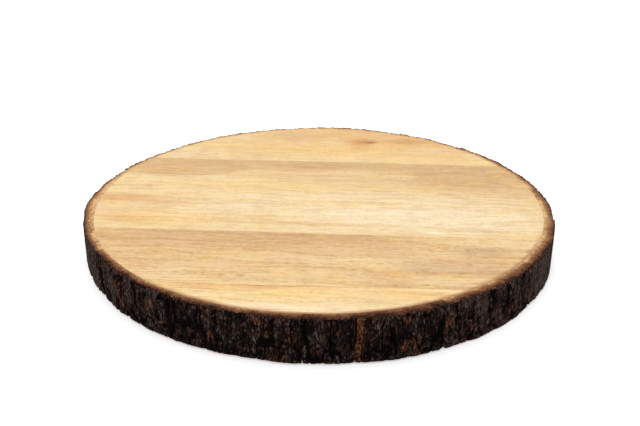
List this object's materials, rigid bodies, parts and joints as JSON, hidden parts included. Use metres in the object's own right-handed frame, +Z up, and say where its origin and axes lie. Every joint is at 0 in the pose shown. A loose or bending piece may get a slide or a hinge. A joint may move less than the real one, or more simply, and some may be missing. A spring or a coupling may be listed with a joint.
{
  "type": "round wooden board with bark edge",
  "caption": "Round flat wooden board of edge-glued long-grain staves, cut to a disc, with strips of dark bark glued round its rim.",
  "frame": {"origin": "centre of the round wooden panel, on its underside", "axes": "+X along the wood grain, +Y towards the rear stave, +Z up out of the top face"},
  "size_m": [0.31, 0.3079, 0.029],
  "materials": {
    "wood_rear": "golden orange wood, sanded and oiled, with red-brown knot marks",
    "wood_middle": "pale yellow wood, sanded and oiled, with grey-brown bands",
    "wood_front": "tan wood, sanded and oiled, with coarse dark pores",
    "wood_front_edge": "golden wood, sanded and oiled",
    "bark": "rough black-brown bark with rust patches, red-brown inner bark where it is cut"
  },
  "bodies": {
    "root": {"stave_front_edge": "wood_front_edge", "stave_front": "wood_front", "stave_middle": "wood_middle", "stave_rear": "wood_rear", "bark_strip_01": "bark", "bark_strip_02": "bark", "bark_strip_03": "bark", "bark_strip_04": "bark", "bark_strip_05": "bark", "bark_strip_06": "bark", "bark_strip_07": "bark", "bark_strip_08": "bark", "bark_strip_09": "bark", "bark_strip_10": "bark", "bark_strip_11": "bark", "bark_strip_12": "bark", "bark_strip_13": "bark", "bark_strip_14": "bark", "bark_strip_15": "bark"}
  },
  "joints": []
}
